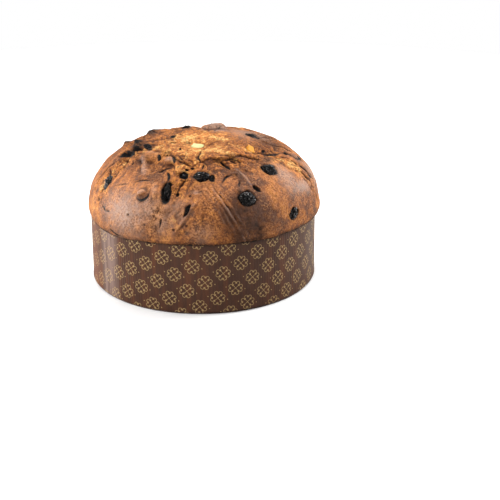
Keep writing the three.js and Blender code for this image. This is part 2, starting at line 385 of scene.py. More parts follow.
# Lines drawn on the wavering copy of the dome come out crooked, and on the curly one winding.
warp = np.stack([soft_noise(plain, 7, 10.0 * k) for k in (1, 2, 3)], -1) * 0.9
warp += np.stack([soft_noise(plain, 28, 10.0 * k) for k in (4, 5, 6)], -1) * 1.2
crust = plain + warp
steady = plain + 0.35 * warp
curly = plain + np.stack([soft_noise(plain, 10, 10.0 * k) for k in (7, 8, 9)], -1) * 6.0

height = np.zeros(len(plain))
golden = np.zeros(len(plain))
# Char, and painted shade in cracks, hollows, creases, under folds, round the fruit and under the lip
scorched = np.zeros(len(plain))
# Where a grey sheen is painted on the skin, which is also where its coat is glossy
bloom = np.zeros(len(plain))
# Browned skin, and a painted shadow over the lower front right
browned = np.zeros(len(plain))
torn = soft_step(steepness, 30, 46)


def along(places):
    """For every crust point: its distance from the line through the places, its side of it
    (positive to the left of the way the line runs), and its share of the line's length."""
    knots = np.array([on_dome(p) for p in places])
    line = []
    last = len(knots) - 1
    for i in range(last):
        a, b, c, d = knots[max(i - 1, 0)], knots[i], knots[i + 1], knots[min(i + 2, last)]
        for t in np.arange(0, 1, 0.25):
            line.append(0.5 * (2 * b + (c - a) * t + (2 * a - 5 * b + 4 * c - d) * t**2
                               + (3 * b - a - 3 * c + d) * t**3))
    line.append(knots[last])
    line = np.array(line)
    lengths = np.linalg.norm(np.diff(line, axis=0), axis=1)
    starts = np.concatenate([[0], np.cumsum(lengths)])
    nearest = np.full(len(crust), 1e9)
    side = np.zeros(len(crust))
    share = np.zeros(len(crust))
    for i, length in enumerate(lengths):
        way = (line[i + 1] - line[i]) / length
        from_start = crust - line[i]
        t = np.clip(from_start @ way, 0, length)
        off = from_start - t[:, None] * way
        gap = np.linalg.norm(off, axis=1)
        closer = gap < nearest
        nearest = np.where(closer, gap, nearest)
        turn = np.einsum("ij,ij->i", np.cross(np.broadcast_to(way, off.shape), off), outward)
        side = np.where(closer, np.sign(turn), side)
        share = np.where(closer, (starts[i] + t) / starts[-1], share)
    return nearest, side, share


def tapered(share, power=0.5):
    """1 along the middle of a line, falling to 0 at its ends."""
    return np.clip(np.sin(np.pi * np.clip(share, 0, 1)), 0, 1) ** power


def axes_at(place, turn):
    """The point of the dome at a place, and its length, width and outward axes: the length
    starts level to the left of someone facing out, and turns up the slope by turn degrees."""
    bearing, rise = np.radians(place)
    out = heading(bearing, rise)
    level = np.cross((0, 0, 1), out)
    level /= np.linalg.norm(level)
    up_slope = np.cross(out, level)
    turn = math.radians(turn)
    length = level * math.cos(turn) + up_slope * math.sin(turn)
    return on_dome(place), length, np.cross(out, length), out


def within(place, size, turn=0):
    """How far each crust point is into an oval of that length and width: 0 its middle, 1 its edge."""
    middle, length, width, out = axes_at(place, turn)
    off = steady - middle
    oval = np.hypot(off @ length / (size[0] / 2), off @ width / (size[1] / 2))
    return np.where(outward @ out > 0.3, oval, 9)


def lump(place, size, rise_mm, turn=0, burnt=0.0, flat=1.0):
    """A raised lump, with its skin darker on top where it caught the heat."""
    shape = np.exp(-((within(place, size, turn) ** (2 * flat)) * 1.4))
    height[:] += rise_mm * shape
    scorched[:] = np.maximum(scorched, burnt * np.exp(-(within(place, size, turn) ** 4)))


def hollow(place, size, depth, turn=0, dark=1.0):
    """A hole burst through the skin, painted dark inside as shade, with a slightly raised edge."""
    oval = within(place, size, turn)
    height[:] -= depth * (1 - soft_step(oval, 0.45, 1.15))
    height[:] += 0.4 * np.exp(-(((oval - 1.35) / 0.25) ** 2))
    scorched[:] = np.maximum(scorched, dark * (1 - soft_step(oval, 0.75, 1.15)))


def tear(places, width, depth, gold):
    """An arm of the cross, torn open: sunk, golden and coarse."""
    gap, _, share = along(places)
    across = gap / (width * tapered(share) + 0.5)
    height[:] -= depth * tapered(share) * np.exp(-(across**2) * 1.2)
    golden[:] = np.maximum(golden, gold * tapered(share) * np.exp(-(across**4)))
    torn[:] = np.maximum(torn, tapered(share) * np.exp(-((0.75 * across) ** 4)))


def crack(places, width, depth, dark=1.0):
    """A thin split in the skin, painted dark along it as shade."""
    gap, _, share = along(places)
    across = gap / (width * tapered(share, 0.6) + 0.2)
    height[:] -= depth * tapered(share, 0.6) * np.exp(-(across**2))
    scorched[:] = np.maximum(scorched, dark * tapered(share, 0.35) * (1 - soft_step(across, 0.4, 1.3)))


def ridge(places, width, rise_mm, pale=0.6, mask=bloom):
    """A rounded fold of skin standing up along a line, with a painted highlight along its top."""
    gap, _, share = along(places)
    shape = tapered(share) * np.exp(-((gap / width) ** 2))
    height[:] += rise_mm * shape
    mask[:] = np.maximum(mask, pale * shape)


def fold(places, rise_mm, spread, shade=0.7):
    """An edge of torn skin: the crust stands up on the line's left, and drops off at the line, with a
    painted shadow under the drop.
    """
    gap, side, share = along(places)
    signed = gap * side
    lifted = 1 / (1 + np.exp(-signed / 0.45)) * np.exp(-np.maximum(signed, 0) / spread)
    height[:] += rise_mm * tapered(share) * lifted
    under = np.exp(-(((signed + 1.1) / 1.1) ** 2)) * tapered(share)
    height[:] -= 0.35 * rise_mm * under
    scorched[:] = np.maximum(scorched, shade * under)


def stain(mask, place, size, amount, turn=0):
    """A broad soft patch of one of the crust's colours."""
    patch = amount * np.exp(-(within(place, size, turn) ** 2) * 1.2)
    mask[:] = np.maximum(mask, patch)


def swath(mask, places, width, amount):
    """A soft-edged band of one of the crust's colours along a line."""
    gap, _, share = along(places)
    band = amount * tapered(share, 0.4) * np.exp(-((gap / width) ** 4))
    mask[:] = np.maximum(mask, band)


def calm(place, size, turn=0):
    """A stretch where the skin stayed whole and smooth."""
    torn[:] *= 1 - 0.9 * np.exp(-(within(place, size, turn) ** 4))


# Broad cushions of dough between the arms
lump((-128, 19), (74, 66), 2.6)
lump((-84, 17), (58, 60), 2.0)
lump((-38, 25), (60, 50), 2.2)
lump((30, 30), (96, 80), 2.4)
lump((-4, 22), (40, 34), 2.6)
lump((128, 28), (90, 80), 1.8)

# The four torn arms, and the skin that stayed whole
tear([(-100, 74), (-150, 62), (-160, 48), (-161, 34), (-157, 22), (-152, 10)], 10, 2.6, 0.6)
tear([(-88, 70), (-94, 52), (-100, 40), (-104, 30), (-107, 18), (-108, 8)], 8, 2.0, 0.25)
tear([(-70, 74), (-44, 60), (-33, 48), (-24, 36), (-18, 26), (-16, 12)], 8, 1.6, 0.6)
tear([(60, 80), (84, 66), (86, 50), (80, 34), (76, 20)], 9, 3.6, 0.8)
calm((-176, 27), (22, 50))
calm((-130, 20), (52, 40))
calm((-139, 45), (20, 14))
calm((-120, 46), (15, 12))
calm((-4, 18), (30, 44))
calm((20, 63), (44, 30))
stain(torn, (-113, 16), (26, 46), 0.8)
stain(torn, (-94, 13), (44, 54), 0.4)
stain(torn, (-104, 20), (20, 36), 0.8)
calm((140, 30), (50, 60))
calm((34, 30), (60, 60))
torn *= 1 - 0.5 * soft_step(steepness, 46, 58)

# Skin wrinkled and parted where the dough pushed up: ledges, creases and small lumps, with painted shade
# under the ledges and in the creases
for size, depth, seed in ((34, 2.6, 21.0), (19, 1.6, 22.0)):
    wave = soft_noise(curly, size, seed) * size / 1.2
    step = 1 / (1 + np.exp(-wave / 0.5)) - 0.5
    height += depth * torn * step * np.exp(-((wave / (0.35 * size)) ** 2))
    scorched = np.maximum(scorched, 0.35 * torn * np.exp(-(((wave + 0.9) / 0.8) ** 2)))
for size, width, depth, dark, seed in ((24, 1.5, 1.5, 0.55, 31.0), (12, 1.1, 0.9, 0.35, 32.0)):
    wave = soft_noise(curly, size, seed) * size / 1.2
    stretch = soft_step(soft_noise(plain, size, seed + 0.5), 0.0, 0.3)
    crease = torn * stretch * np.exp(-((wave / width) ** 2))
    height -= depth * crease
    scorched = np.maximum(scorched, dark * crease)
height += torn * (0.9 * soft_noise(curly, 12, 41.0) + 0.45 * soft_noise(curly, 5, 42.0))
height += 1.3 * soft_noise(plain, 30, 43.0) + 0.6 * soft_noise(plain, 13, 44.0)
height += (0.2 + 0.35 * torn) * soft_noise(plain, 2.6, 45.0)

# Skin edges at the crown
fold([(-34, 58), (-46, 67), (-45, 76), (-14, 85), (133, 86), (157, 79), (169, 70)], 2.2, 10, 0.6)
fold([(-94, 47), (-83, 50), (-74, 48), (-64, 48), (-55, 49), (-47, 45), (-38, 41)], 2.4, 8, 0.45)
fold([(-118, 50), (-110, 47), (-102, 45)], 1.8, 6, 0.6)
lump((66, 69), (26, 9), 5.2, 0, 0.0, 3.0)
crack([(84, 74), (64, 76.5), (44, 68)], 0.8, 1.2, 0.6)
lump((-172, 69), (8, 7), 2.2, 0, 0.8)
crack([(-154, 63), (-147, 66), (-140, 68)], 1.0, 1.8, 0.8)
crack([(-122, 61), (-120, 59), (-118, 57)], 0.9, 1.6, 0.8)

# Left: a split beside the smooth skin, a burst hollow with charred lumps over it, folds and slits
crack([(-164, 13), (-168, 19), (-169, 23), (-170, 28), (-169, 33)], 1.2, 2.2, 0.9)
hollow((-170, 38), (14, 8), 6.5, 25)
hollow((-169, 45), (12, 7), 6.5, 40)
lump((160, 37), (11, 8), 4.0, 0, 0.5)
lump((-178, 48), (10, 8), 4.4, 0, 0.9)
lump((-168, 51.5), (10, 7), 4.0, 0, 1.0)
lump((-157, 51.5), (7, 6), 2.6, 0, 0.8)
crack([(-159, 52), (-155, 51), (-149, 51)], 1.7, 2.8)
lump((174, 41), (9, 7), 1.6)
lump((151, 51), (24, 11), 4.2, 0, 0.7)
crack([(-155, 54), (-153, 56), (-151, 59)], 1.3, 2.6)
lump((-139, 45), (17, 12), 4.4, 20, 0.2, 1.8)
ridge([(-148, 42), (-149, 46), (-144, 49), (-137, 50), (-131, 47)], 2.0, 1.4)
ridge([(-142, 44), (-136, 39), (-128, 33)], 2.6, 2.2, 0.9)
crack([(-149, 40), (-143, 41), (-139, 38)], 1.2, 1.2, 0.6)
crack([(-134, 49.5), (-131, 47), (-128.5, 44)], 1.3, 3.2)
crack([(-127, 51), (-126.5, 48)], 1.1, 2.6)
crack([(-155, 35), (-153, 33), (-153, 30)], 0.9, 1.6)
crack([(-149, 39), (-147, 36)], 0.8, 1.4, 0.8)
crack([(-166, 28), (-162, 25), (-158, 24)], 1.2, 2.0)
crack([(-156, 20), (-157, 15)], 0.9, 1.4, 0.8)
crack([(-152, 13), (-148, 12), (-145, 11), (-141, 12)], 0.8, 1.3, 0.8)
crack([(-146, 23), (-140, 25.5), (-134, 27)], 0.7, 0.8, 0.5)
crack([(-133, 28), (-128, 30), (-122, 31)], 0.7, 1.0, 0.6)
calm((-124, 24), (12, 10))
lump((-124, 24), (6.5, 6.5), 4.4, 0, 0.0, 2.0)
stain(bloom, (-124, 24.5), (7, 7), 1.0)
crack([(-126.5, 21.5), (-123.5, 20.3), (-120.5, 21.5), (-120, 25)], 1.1, 1.6)
ridge([(-119, 31), (-117, 26), (-116, 20)], 3.2, 1.3, 0.6)
crack([(-110.5, 14), (-110.5, 11), (-111, 8)], 0.7, 2.2, 0.7)
crack([(-141, 4), (-138, 2.5), (-132, 1.2)], 0.7, 1.3, 0.9)

# Front: the second arm's splits and its slanting fold
crack([(-94, 60), (-92.5, 56), (-93.5, 52), (-91.5, 48), (-92.5, 45)], 0.6, 1.4, 0.7)
crack([(-88, 45), (-89, 43), (-90, 40)], 0.9, 1.6, 0.7)
lump((-120, 46), (14, 11), 4.2, 0, 0.2, 1.8)
stain(bloom, (-118, 46), (8, 7), 0.8)
crack([(-123, 51), (-117, 49), (-113, 44)], 1.2, 3.0)
crack([(-116, 51), (-110, 49), (-103, 45)], 0.8, 1.6, 0.6)
crack([(-121, 36), (-118, 39), (-113, 41)], 1.1, 1.8, 0.85)
crack([(-115, 38), (-112, 35), (-111, 31)], 1.4, 2.6)
hollow((-110, 26), (22, 9), 2.6, 98)
crack([(-100, 39), (-102, 33), (-104, 29), (-104, 25)], 0.8, 2.2, 0.45)
hollow((-98, 42.5), (4, 2.5), 1.6, -10)
hollow((-102, 41), (3.5, 2.5), 1.6, 10)
hollow((-104, 25.5), (4, 3), 1.8, 70)
ridge([(-92, 24), (-97, 18), (-101, 12), (-105, 6)], 1.4, 1.0, 0.6)
crack([(-93, 21), (-98, 14), (-102, 9)], 1.0, 0.6, 0.3)
for place in ((-97, 25), (-98, 11), (-104, 9), (-118, 10), (-128, 13)):
    hollow(place, (3, 2.4), 0.9, 0, 0.25)
stain(bloom, (-94, 27), (5, 4), 0.9)

# Right of the front: slits, a charred nub, a pit and a long thin scar
crack([(-79, 31), (-74, 35), (-68, 35)], 0.9, 2.0, 0.7)
crack([(-74, 47), (-72, 43), (-70, 39)], 1.5, 3.0)
crack([(-67, 46.5), (-64, 44.5), (-62, 43)], 1.3, 2.4)
lump((-69, 36), (8.5, 6), 3.0, 10, 0.4)
crack([(-67, 33), (-69, 28)], 0.8, 1.8, 0.8)
lump((-70, 26.5), (6, 5), 1.8, 0, 0.45)
ridge([(-67, 41), (-65, 37), (-63, 33), (-62, 28)], 1.1, 1.0, 0.6)
hollow((-59.5, 26), (9, 4), 3.0, -50)
# Each line of the scar is a painted highlight along a raised line, with a painted shade line beside it
for aside, strength in ((0, 1.0), (2.6, 0.3), (-2.6, 0.4), (-5, 0.25)):
    scar = [(-86 + aside, 30), (-80 + aside, 21), (-76 + aside, 14), (-73 + aside, 7), (-70 + aside, 0)]
    ridge(scar, 0.8, 1.2 * strength, 1.0 * strength)
    crack([(turned + 1.1, up) for turned, up in scar], 0.5, 0.9 * strength, 0.8 * strength)

# Right: the golden arm's splits and the long crack below it
hollow((-23, 46), (4, 3), 1.6)
hollow((-9, 36), (6, 4), 1.8)
hollow((-2, 29), (6, 5), 1.8)
crack([(-30, 46), (-24, 43), (-18, 40), (-12, 38)], 1.8, 2.2, 0.8)
crack([(-19, 37), (-16, 34), (-15, 30), (-13, 28)], 1.5, 2.8, 0.75)
crack([(-21, 28), (-19, 25), (-18.5, 22), (-16.5, 19), (-17, 15)], 1.4, 3.0, 0.75)
crack([(-14, 29), (-12, 25), (-12, 21), (-10, 19), (-10, 14)], 2.1, 3.6, 0.95)
crack([(-4, 16), (-7, 14), (-9, 13), (-10, 9)], 1.0, 1.8, 0.65)
crack([(-16, 13), (-14.5, 10), (-15, 6)], 0.9, 1.6, 0.65)
crack([(-12, 38), (-8, 35), (-7, 31), (-3, 27), (-3, 23)], 1.3, 2.2, 0.65)
crack([(-3, 46), (0, 41), (0, 36), (3, 32), (3, 27)], 1.2, 2.0, 0.6)
ridge([(-30, 41), (-25, 36), (-21, 30), (-19, 24), (-17, 18), (-18, 12)], 2.6, 1.4, 0.6, golden)
ridge([(-12, 31), (-11, 26), (-11, 20), (-12, 13)], 1.8, 1.2, 0.6, golden)
for place in ((16, 40), (12, 35), (7, 32)):
    hollow(place, (4, 2.5), 1.2, 0, 0.8)

# Colours that the oven left, with painted sheen on the smooth skin and painted shade and shadow among them
stain(golden, (-90, 76), (90, 50), 1.0)
stain(golden, (-50, 76), (40, 30), 1.0)
stain(golden, (-75, 58), (60, 26), 1.0)
stain(golden, (-120, 58), (50, 26), 0.75)
stain(golden, (-155, 14), (34, 44), 0.75)
stain(golden, (-157, 30), (34, 24), 0.5)
stain(golden, (-96, 43), (40, 24), 1.0)
stain(golden, (-100, 20), (50, 60), 0.3)
stain(golden, (-18, 24), (22, 50), 0.6)
stain(golden, (-60, 56), (80, 40), 0.5)
stain(golden, (-2, 20), (40, 40), 0.45)
stain(golden, (-104, 5), (110, 22), 0.3)
stain(bloom, (-130, 13), (62, 42), 1.0)
stain(bloom, (-3, 18), (34, 44), 1.0)
stain(bloom, (20, 60), (44, 30), 0.7)
stain(bloom, (60, 71), (36, 18), 1.0)
stain(browned, (110, 28), (170, 70), 0.4)
stain(browned, (20, 24), (80, 50), 0.3)
stain(browned, (66, 70), (32, 12), 0.8)
# Darker skin at the lower front right, deepened by a painted shadow
stain(scorched, (-70, 12), (50, 50), 0.43)
stain(scorched, (-138, 45), (26, 20), 0.25)
stain(scorched, (-2, 48), (26, 18), 0.25)
stain(scorched, (-35, 40), (18, 8), 0.6)
stain(scorched, (-172, 46), (26, 14), 0.75)
stain(scorched, (-158, 50), (12, 7), 0.7)
stain(bloom, (-110, 13), (34, 36), 0.75)
stain(browned, (-40, 66), (26, 18), 0.9)
stain(bloom, (4, 59), (28, 16), 0.3)

swath(golden, [(-128, 74), (-85, 82), (-52, 77), (-57, 64), (-46, 60), (-36, 55), (-33, 50)], 10, 1.0)
swath(golden, [(-133, 53), (-112, 56), (-96, 62), (-74, 63), (-57, 58), (-48, 51), (-42, 45)], 8, 0.8)
swath(golden, [(-44, 46), (-34, 43), (-25, 36), (-20, 29), (-18, 22), (-16, 15), (-15, 5)], 7, 0.75)
stain(golden, (-94, 24), (16, 14), 0.7)
stain(bloom, (-102, 17), (22, 30), 0.6)
stain(bloom, (-91, 8), (28, 22), 0.6)
stain(bloom, (-116, 17), (26, 28), 0.9)
stain(golden, (-101, 17), (24, 32), 0.7)
stain(golden, (-104, 48), (50, 16), 0.8)
stain(golden, (-66, 47), (30, 12), 0.6)
swath(golden, [(-153, 6), (-160, 18), (-160, 30), (-152, 40), (-140, 52)], 7, 0.7)
# The lower front right: darker skin, deepened by a painted shadow
stain(browned, (-72, 17), (42, 52), 1.0)
stain(browned, (-64, 12), (22, 40), 1.3)
stain(browned, (-76, 12), (28, 40), 0.9)
stain(browned, (-80, 19), (20, 26), 1.0)
stain(scorched, (-64, 7), (34, 36), 0.5)
stain(browned, (-76, 38), (40, 22), 0.55)
stain(browned, (-140, 36), (56, 20), 0.65)
stain(browned, (-120, 33), (26, 16), 0.7)
stain(browned, (-148, 33), (22, 14), 0.5)
stain(browned, (2, 44), (50, 34), 0.7)
stain(browned, (-20, 63), (34, 18), 0.9)
stain(bloom, (12, 48), (26, 16), 0.7)
stain(browned, (-66, 30), (30, 24), 0.6)
stain(bloom, (-36, 27), (24, 34), 0.9)
stain(bloom, (-28, 20), (16, 40), 0.9, 80)
stain(golden, (-36, 51), (26, 14), 1.2)
# Painted shade along the second fold, beside the nub's ridge and down a crack of the right arm
swath(scorched, [(-84, 51), (-69, 51), (-59, 48), (-51, 44)], 3.2, 0.25)
swath(scorched, [(-66, 43), (-65, 37), (-66, 31), (-65, 26)], 2.5, 0.25)
swath(scorched, [(0, 54), (-2, 46), (2, 38), (0, 28)], 4, 0.35)

# Raisins and peel lie in sockets of their own, where the skin has drawn back from them. Each has
# its place, its length, width and height, the turn of its length, and its middle's depth.
FRUIT = {
    "raisin_1": ((-155, 22), (12, 8.5, 8), 92, 1.2),
    "raisin_2": ((-167, 40), (14, 8, 7), 20, 2.6),
    "raisin_3": ((-166, 51), (7, 5.5, 5), 0, 1),
    "raisin_4": ((117, 65), (10, 7, 6), 0, 0.5),
    "raisin_5": ((-91, 36), (14, 10.5, 9), 4, 1),
    "raisin_6": ((-84.5, 34.5), (7, 4.5, 5), 80, 1.2),
    "raisin_7": ((-103, 37), (8, 7.5, 6), 50, 2.5),
    "raisin_8": ((-110.5, 26), (18.5, 7.5, 8), 98, 2.4),
    "raisin_9": ((-98, 18), (12, 3.6, 6), 66, 1.8),
    "raisin_10": ((-67, 22), (16, 13, 10), -8, 0.8),
    "raisin_11": ((-43, 34), (14, 11.5, 9), -25, 1),
    "raisin_12": ((7, 55), (13, 8, 6), 80, 1.6),
    "raisin_13": ((-42, 10), (12, 9, 8), 30, 1.6),
    "raisin_14": ((28, 17), (13, 10, 8), -30, 1.2),
    "raisin_15": ((50, 29), (11, 9, 8), 60, 1.6),
    "raisin_16": ((80, 15), (14, 9, 8), 12, 1.4),
    "raisin_17": ((103, 34), (12, 10, 8), -50, 1),
    "raisin_18": ((130, 19), (15, 11, 9), 35, 1.2),
    "raisin_19": ((152, 20), (12, 8, 8), -70, 1.6),
    "citron_peel_1": ((-100, 69), (11, 7, 6), -10, 1.6),
    "lemon_peel_1": ((-29, 52), (9, 6.5, 6), 40, 1.6),
    "orange_peel_1": ((122, 31), (10, 7, 6), 20, 1.6),
    "citron_peel_2": ((66, 35), (9, 7, 6), -40, 1.6),
}


def fruit_middle(name):
    """The middle of a fruit, in millimetres from the hub, from its solid."""
    low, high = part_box(name)
    return np.array((low + high) / 2) / MM - (0, 0, HUB)


ragged = np.stack([soft_noise(plain, 4, 10.0 * k) for k in (11, 12, 13)], -1) * 1.3
for name, (place, size, turn, sunk) in FRUIT.items():
    middle, length, width, out = axes_at(place, turn)
    reach = np.linalg.norm(fruit_middle(name)) + sunk
    off = plain + ragged - middle
    oval = np.hypot(off @ length / (size[0] / 2), off @ width / (size[1] / 2))
    oval = np.where(outward @ out > 0.3, oval, 9)
    here = (np.linalg.norm(plain, axis=1) + height)[oval < 1.6].mean()
    height += (reach - here) * np.exp(-((oval / 2.2) ** 2))
    socket = 1 - soft_step(oval, 0.7, 1.12)
    height -= 0.5 * size[2] * socket
    height += 0.3 * np.exp(-(((oval - 1.32) / 0.2) ** 2))
    # A painted shade ring round each socket, and fainter painted shade about it
    scorched = np.maximum(scorched, 0.95 * (1 - soft_step(oval, 0.9, 1.18)))
    scorched = np.maximum(scorched, 0.35 * (1 - soft_step(oval, 1.0, 1.7)))

# How far each point stands out from the crust round it: crests are painted paler as highlight, hollows
# painted darker as shade
corners = np.empty(len(loaf.data.edges) * 2, dtype=int)
loaf.data.edges.foreach_get("vertices", corners)
ends_one, ends_two = corners.reshape(-1, 2).T
beside = np.bincount(corners, minlength=len(height))
level = height
for _ in range(30):
    around = np.bincount(ends_one, level[ends_two], len(level))
    around += np.bincount(ends_two, level[ends_one], len(level))
    level = 0.5 * level + 0.5 * around / beside
painted_relief_shading = (height - level) / 0.9

# The lip is darker towards its edge, and a painted shadow line runs along the edge. The relief fades toward
# it, and it curls in.
browned = np.maximum(browned, 0.4 * np.exp(-(((rise - edge_rise) / math.radians(2.5)) ** 2)))
scorched = np.maximum(scorched, 0.6 * np.exp(-(((rise - edge_rise) / math.radians(0.9)) ** 2)))
height *= 0.25 + 0.75 * soft_step(rise - edge_rise, 0, math.radians(7))
radius = np.linalg.norm(plain, axis=1) + height
curl = 1 - soft_step(rise - edge_rise, 0, math.radians(3))
radius -= 1.6 * curl**2
placed = outward * radius[:, None] + (0, 0, HUB)
loaf.data.vertices.foreach_set("co", (placed * MM).ravel())
loaf.data.update()

for name, mask in (("golden", golden), ("scorched", scorched), ("bloom", bloom), ("torn", torn),
                   ("browned", browned)):
    layer = loaf.data.attributes.new(name, "FLOAT", "POINT")
    layer.data.foreach_set("value", np.clip(mask, 0, 1).astype(np.float32))
layer = loaf.data.attributes.new("painted_relief_shading", "FLOAT", "POINT")
layer.data.foreach_set("value", np.clip(painted_relief_shading, -1, 1).astype(np.float32))

# The skin stretched from crown to rim as the dough rose, so its grain runs that way too
STRETCH = 0.75
ring = np.stack([np.cos(bearing) * 80, np.sin(bearing) * 80, rise * 100 * STRETCH], -1)
clear_of_crown = soft_step(np.hypot(plain[:, 0], plain[:, 1]), 22, 50)[:, None]
grain = (ring * clear_of_crown + plain * (1 - clear_of_crown)) * MM
layer = loaf.data.attributes.new("grain", "FLOAT_VECTOR", "POINT")
layer.data.foreach_set("vector", grain.astype(np.float32).ravel())

# Under the lip and down inside the mould to the flat bottom: the radius and height of each ring
DOWN_INSIDE = (
    (105.4, LIP), (INSIDE_MOULD, LIP), (INSIDE_MOULD, 35), (INSIDE_MOULD, 9), (102, 4), (97, LOAF_BOTTOM),
)
bpy.ops.object.mode_set(mode="EDIT")
bpy.ops.mesh.select_mode(type="EDGE")
bpy.ops.mesh.select_all(action="DESELECT")
bpy.ops.mesh.select_non_manifold()
for target_radius, target_height in DOWN_INSIDE:
    bpy.ops.mesh.extrude_region_move()
    bpy.ops.object.mode_set(mode="OBJECT")
    for vertex in loaf.data.vertices:
        if vertex.select:
            flat = math.hypot(vertex.co.x, vertex.co.y)
            vertex.co.x *= target_radius * MM / flat
            vertex.co.y *= target_radius * MM / flat
            vertex.co.z = target_height * MM
    bpy.ops.object.mode_set(mode="EDIT")
bpy.ops.mesh.edge_face_add()
bpy.ops.mesh.select_all(action="SELECT")
bpy.ops.mesh.normals_make_consistent(inside=False)
bpy.ops.object.mode_set(mode="OBJECT")
bpy.ops.object.shade_smooth()

CHESTNUT = (0.225, 0.068, 0.017, 1)
TOAST = (0.400, 0.132, 0.029, 1)
AMBER = (0.640, 0.235, 0.048, 1)
GOLD = (0.950, 0.570, 0.195, 1)
# Cocoa for the dark flecks, and for painted shade in hollows and creases
COCOA_AND_SHADE = (0.085, 0.030, 0.012, 1)
# Near-black for char and for painted shade
CHAR_AND_SHADE_BLACK = (0.006, 0.004, 0.003, 1)
# The grey of the painted sheen
PAINTED_SHEEN_GREY = (0.470, 0.280, 0.185, 1)
DARK_CHESTNUT = (0.080, 0.024, 0.009, 1)

crust_finish, shader = new_finish("baked_crust")
spot = wire(crust_finish, "ShaderNodeTexCoord").outputs["Object"]
masks = {
    name: wire(crust_finish, "ShaderNodeAttribute", {"attribute_name": name}).outputs["Fac"]
    for name in ("golden", "scorched", "bloom", "torn", "browned", "painted_relief_shading")
}


def crust_texture(scale, where, **sockets):
    sockets = {"Detail": 5.0, "Roughness": 0.6, **sockets}
    return wire(crust_finish, "ShaderNodeTexNoise", Vector=where, Scale=scale, **sockets).outputs[0]


def shade_of(value, low, high, first, last):
    """A value carried from one range to another, and held inside it."""
    return wire(crust_finish, "ShaderNodeMapRange", _0=value, _1=low, _2=high, _3=first, _4=last).outputs[0]


def product(first, *others):
    for other in others:
        first = calculate(crust_finish, "MULTIPLY", first, other)
    return first


def swing(value, amount):
    """A noise's swing about its middle, times an amount."""
    return product(calculate(crust_finish, "SUBTRACT", value, 0.5), amount)


grain = wire(crust_finish, "ShaderNodeAttribute", {"attribute_name": "grain"}).outputs["Vector"]
broad = crust_texture(45.0, spot)
patches = crust_texture(120.0, grain)
mottle = crust_texture(300.0, grain, Detail=6.0, Roughness=0.65)
fleck = crust_texture(640.0, spot, Detail=4.0, Roughness=0.75)
wrinkles = crust_texture(260.0, grain, Detail=3.0, Roughness=0.55, Distortion=1.2)
fissure = shade_of(calculate(crust_finish, "ABSOLUTE", calculate(crust_finish, "SUBTRACT", wrinkles, 0.5)),
                   0.0, 0.06, 1.0, 0.0)
fissure = product(fissure, shade_of(patches, 0.42, 0.56, 0.0, 1.0),
                  shade_of(masks["torn"], 0.0, 1.0, 0.15, 1.0))

# How pale the crust is, from dark chestnut at 0 to gold near 1, with crests painted a little paler as
# highlight. Whole skin stays below gold.
USUAL_PALENESS = 0.31
coarse_here = shade_of(masks["torn"], 0.0, 1.0, 0.6, 1.0)
paleness = calculate(crust_finish, "ADD", swing(broad, 2.1), product(swing(patches, 2.4), coarse_here))
for more in (product(swing(mottle, 2.3), coarse_here), product(masks["golden"], 0.42),
             product(masks["browned"], -0.45), product(masks["painted_relief_shading"], 0.14), USUAL_PALENESS):
    paleness = calculate(crust_finish, "ADD", paleness, more)
palest = calculate(crust_finish, "MULTIPLY_ADD", masks["golden"], 0.5, 0.6)
ramp = wire(crust_finish, "ShaderNodeValToRGB", Fac=calculate(crust_finish, "MINIMUM", paleness, palest))
stops = ramp.color_ramp.elements
stops[0].color = DARK_CHESTNUT
stops[1].color = GOLD
stops[1].position = 0.94
for place, shade in ((0.28, CHESTNUT), (0.5, TOAST), (0.74, AMBER)):
    stops.new(place).color = shade
colour = ramp.outputs["Color"]
whole = calculate(crust_finish, "SUBTRACT", 1.0, masks["torn"])
# A painted grey sheen: strongest where it is masked in, faint over all the smooth skin
painted_sheen_share = calculate(crust_finish, "MAXIMUM", masks["bloom"], product(whole, 0.1))
colour = blend_colours(crust_finish, product(painted_sheen_share, shade_of(patches, 0.35, 0.6, 0.75, 0.45)), colour, PAINTED_SHEEN_GREY)

# Fine pale flecks, painted greyish on the smooth skin as glints of sheen and fewer where it browned or lies
# in painted shadow, with dark ones between
clusters = product(shade_of(patches, 0.42, 0.58, 0.4, 1.0), shade_of(masks["torn"], 0.0, 0.4, 0.8, 1.0))
sheen = calculate(crust_finish, "MAXIMUM", masks["bloom"], product(whole, 0.3))
paler = blend_colours(crust_finish, sheen, AMBER, PAINTED_SHEEN_GREY)
fresh = shade_of(masks["browned"], 0.4, 1.0, 1.0, 0.2)
flecks = product(shade_of(fleck, 0.5, 0.6, 0.0, 0.8), clusters, fresh)
colour = blend_colours(crust_finish, flecks, colour, paler)
colour = blend_colours(crust_finish, product(shade_of(fleck, 0.49, 0.39, 0.0, 1.0), clusters), colour, COCOA_AND_SHADE)
# Painted shade in the hollows of the relief and along the fine creases
colour = blend_colours(crust_finish, shade_of(masks["painted_relief_shading"], -0.08, -0.7, 0.0, 0.85), colour, COCOA_AND_SHADE)
colour = blend_colours(crust_finish, product(fissure, 0.8), colour, COCOA_AND_SHADE)
